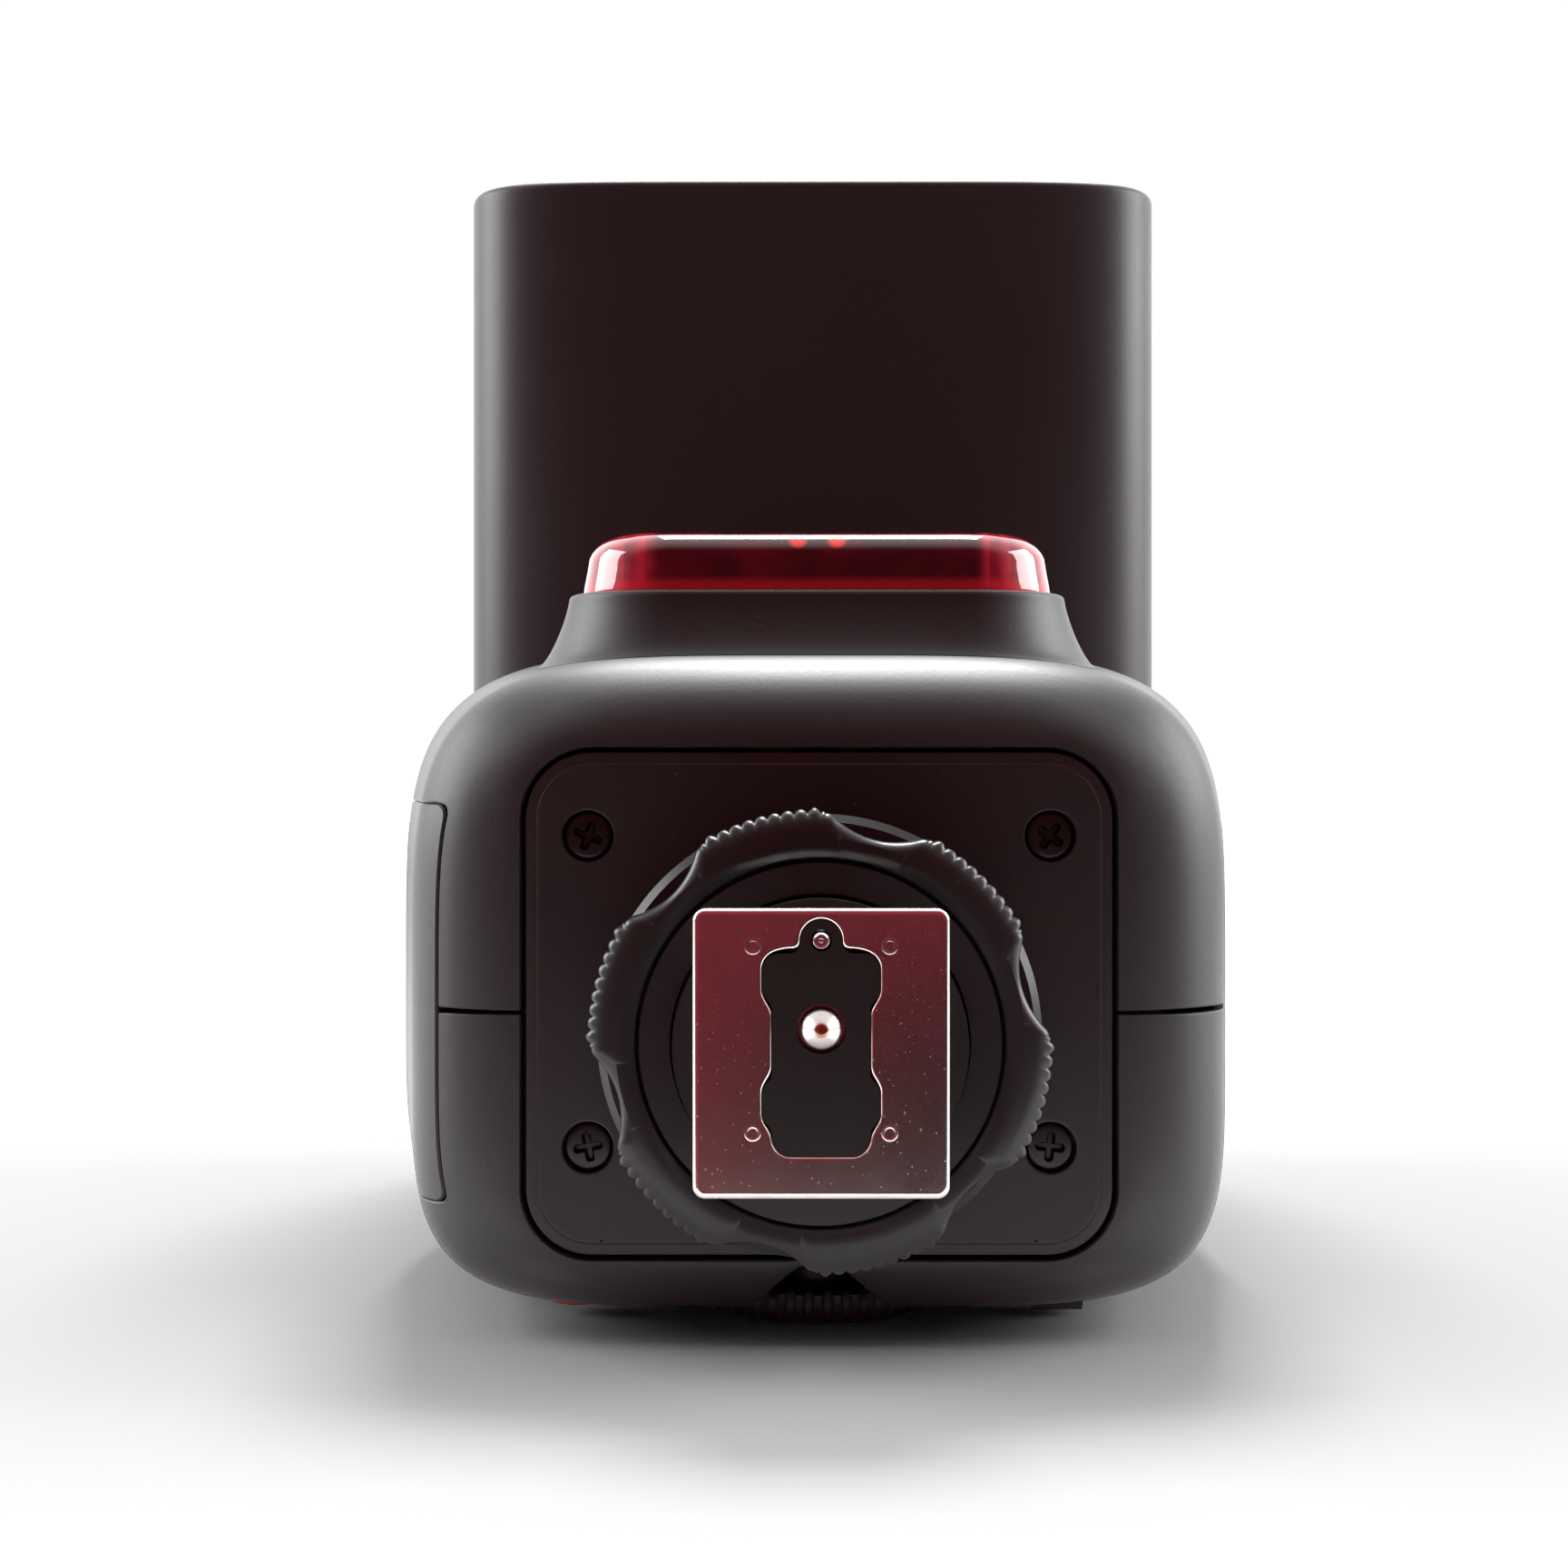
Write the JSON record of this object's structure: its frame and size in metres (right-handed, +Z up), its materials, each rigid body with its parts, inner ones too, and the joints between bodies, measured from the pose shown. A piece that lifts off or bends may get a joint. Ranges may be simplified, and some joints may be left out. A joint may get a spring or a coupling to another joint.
{
  "type": "speedlight flash",
  "caption": "Battery speedlight with a shoe foot and lock ring, red front panel, rear display and dial, and a zoom head that tilts and swivels.",
  "frame": {"origin": "centre of the metal foot plate's bottom face", "axes": "+Z up out of the camera shoe, beam and red panel towards -Y at rest, display towards +Y, battery door at -X"},
  "size_m": [0.076, 0.1075, 0.1372],
  "materials": {
    "polished_steel": "polished nickel-plated steel",
    "insert_black": "fine satin moulding",
    "ring_black": "satin moulding, knurled edge",
    "body_black": "fine spark-eroded texture",
    "screw_black": "black zinc",
    "steel": "turned or stamped steel",
    "contact_gold": "plated spring strip",
    "inner_plastic": "as moulded",
    "cell_jacket": "printed film sleeve, plain",
    "capacitor_sleeve": "shrink sleeve",
    "circuit_board": "solder mask",
    "winding_tape": "polyester tape on windings",
    "red_panel": "translucent dark red, polished",
    "red_led": "clear red epoxy domes",
    "display_glass": "clear window",
    "display_grey": "unlit display glass",
    "button_black": "satin",
    "button_red": "translucent lit button",
    "rubber_black": "moulded rubber",
    "lens_clear": "clear moulded acrylic",
    "card_white": "white card",
    "reflector_bright": "bright anodised",
    "tube_glass": "clear glass"
  },
  "bodies": {
    "root": {"foot_plate": "polished_steel", "foot_insert": "insert_black", "foot_screws": "polished_steel", "foot_pedestal": "ring_black", "pedestal_collar": "ring_black", "bottom_plate": "body_black", "bottom_screws": "screw_black", "front_shell": "body_black", "rear_shell": "body_black", "door_pin": "steel", "battery_holder": "inner_plastic", "cell_1": "cell_jacket", "cell_2": "cell_jacket", "cell_3": "cell_jacket", "cell_4": "cell_jacket", "cell_springs": "steel", "main_capacitor": "capacitor_sleeve", "power_board": "circuit_board", "power_transformer": "winding_tape", "main_board": "circuit_board", "front_panel": "red_panel", "assist_leds": "red_led", "display_window": "display_glass", "display_module": "display_grey", "sync_jack": "inner_plastic"},
    "contact": {"centre_contact": "polished_steel"},
    "pin": {"lock_pin": "polished_steel"},
    "clamp": {"clamp_washer": "ring_black"},
    "ring": {"lock_ring": "ring_black"},
    "door": {"battery_door": "body_black", "door_contacts": "contact_gold"},
    "cover": {"port_cover": "rubber_black"},
    "dial": {"control_dial": "button_black"},
    "switch": {"power_switch": "button_black"},
    "turret": {"turret": "body_black", "turret_ring": "steel", "tilt_axle": "steel", "detent_wheel": "steel"},
    "head": {"head_lower_shell": "body_black", "head_upper_shell": "body_black", "fresnel_lens": "lens_clear", "zoom_motor": "steel", "zoom_rod": "steel", "head_board": "circuit_board", "head_screws": "screw_black"},
    "release": {"release_button": "button_black"},
    "diffuser": {"wide_panel": "lens_clear"},
    "card": {"bounce_card": "card_white"},
    "carriage": {"zoom_carriage": "inner_plastic", "reflector": "reflector_bright", "flash_tube": "tube_glass"},
    "screw": {"zoom_screw": "steel"},
    "menu_button_1": {"menu_button_1": "button_black"},
    "menu_button_2": {"menu_button_2": "button_black"},
    "menu_button_3": {"menu_button_3": "button_black"},
    "menu_button_4": {"menu_button_4": "button_black"},
    "wireless_button": {"wireless_button": "button_black"},
    "zoom_button": {"zoom_button": "button_black"},
    "test_button": {"test_button": "button_red"},
    "set_button": {"set_button": "button_black"}
  },
  "joints": [
    {"name": "contact_spring", "type": "slide", "parent": "root", "child": "contact", "axis": [0, 0, 1], "range_m": [0, 0.001], "stiffness_N_per_m": 500},
    {"name": "lock_ring_turn", "type": "hinge", "parent": "clamp", "child": "ring", "pos_m": [0, 0, 0.0105], "axis": [0, 0, -1], "range_deg": [0, 540]},
    {"name": "clamp_slide", "type": "slide", "parent": "root", "child": "clamp", "axis": [0, 0, -1], "range_m": [0, 0.0024]},
    {"name": "lock_pin_slide", "type": "slide", "parent": "root", "child": "pin", "axis": [0, 0, -1], "range_m": [0, 0.0016]},
    {"name": "battery_door_hinge", "type": "hinge", "parent": "root", "child": "door", "pos_m": [-0.03627, -0.002, 0.0603], "axis": [0, 1, 0], "range_deg": [0, 90]},
    {"name": "port_cover_hinge", "type": "hinge", "parent": "root", "child": "cover", "pos_m": [0.03673, 0.008, 0.07062], "axis": [0, -1, 0], "range_deg": [0, 100]},
    {"name": "dial_turn", "type": "hinge", "parent": "root", "child": "dial", "pos_m": [0, 0.023, 0.0355], "axis": [0, 1, 0], "continuous": true},
    {"name": "power_switch_slide", "type": "slide", "parent": "root", "child": "switch", "axis": [0, 0, -1], "range_m": [0, 0.003]},
    {"name": "menu_button_1_press", "type": "slide", "parent": "root", "child": "menu_button_1", "axis": [0, -1, 0], "range_m": [0, 0.0006], "stiffness_N_per_m": 500},
    {"name": "menu_button_2_press", "type": "slide", "parent": "root", "child": "menu_button_2", "axis": [0, -1, 0], "range_m": [0, 0.0006], "stiffness_N_per_m": 500},
    {"name": "menu_button_3_press", "type": "slide", "parent": "root", "child": "menu_button_3", "axis": [0, -1, 0], "range_m": [0, 0.0006], "stiffness_N_per_m": 500},
    {"name": "menu_button_4_press", "type": "slide", "parent": "root", "child": "menu_button_4", "axis": [0, -1, 0], "range_m": [0, 0.0006], "stiffness_N_per_m": 500},
    {"name": "wireless_button_press", "type": "slide", "parent": "root", "child": "wireless_button", "axis": [0, -1, 0], "range_m": [0, 0.0006], "stiffness_N_per_m": 500},
    {"name": "zoom_button_press", "type": "slide", "parent": "root", "child": "zoom_button", "axis": [0, -1, 0], "range_m": [0, 0.0006], "stiffness_N_per_m": 500},
    {"name": "test_button_press", "type": "slide", "parent": "root", "child": "test_button", "axis": [0, -1, 0], "range_m": [0, 0.0006], "stiffness_N_per_m": 500},
    {"name": "set_button_press", "type": "slide", "parent": "root", "child": "set_button", "axis": [0, -1, 0], "range_m": [0, 0.0006], "stiffness_N_per_m": 500},
    {"name": "head_swivel", "type": "hinge", "parent": "root", "child": "turret", "pos_m": [0, -0.003, 0.0815], "axis": [0, 0, 1], "range_deg": [-180, 90]},
    {"name": "head_tilt", "type": "hinge", "parent": "turret", "child": "head", "pos_m": [0, -0.003, 0.111], "axis": [-1, 0, 0], "range_deg": [-7, 90]},
    {"name": "tilt_release_press", "type": "slide", "parent": "head", "child": "release", "axis": [-1, 0, 0], "range_m": [0, 0.0015], "stiffness_N_per_m": 500},
    {"name": "wide_panel_slide", "type": "slide", "parent": "head", "child": "diffuser", "axis": [0, -1, 0], "range_m": [0, 0.034]},
    {"name": "bounce_card_slide", "type": "slide", "parent": "head", "child": "card", "axis": [0, -1, 0], "range_m": [0, 0.034]},
    {"name": "zoom_screw_turn", "type": "hinge", "parent": "head", "child": "screw", "pos_m": [0.0273, -0.05, 0.094], "axis": [0, -1, 0], "range_deg": [0, 2160]},
    {"name": "zoom_slide", "type": "slide", "parent": "head", "child": "carriage", "axis": [0, -1, 0], "range_m": [0, 0.018]}
  ],
  "couplings": [
    {"joint": "lock_ring_turn", "follows": "clamp_slide", "rad_per_m": 3926.9},
    {"joint": "lock_pin_slide", "follows": "clamp_slide", "ratio": 0.6666},
    {"joint": "zoom_screw_turn", "follows": "zoom_slide", "rad_per_m": 2094.3}
  ]
}
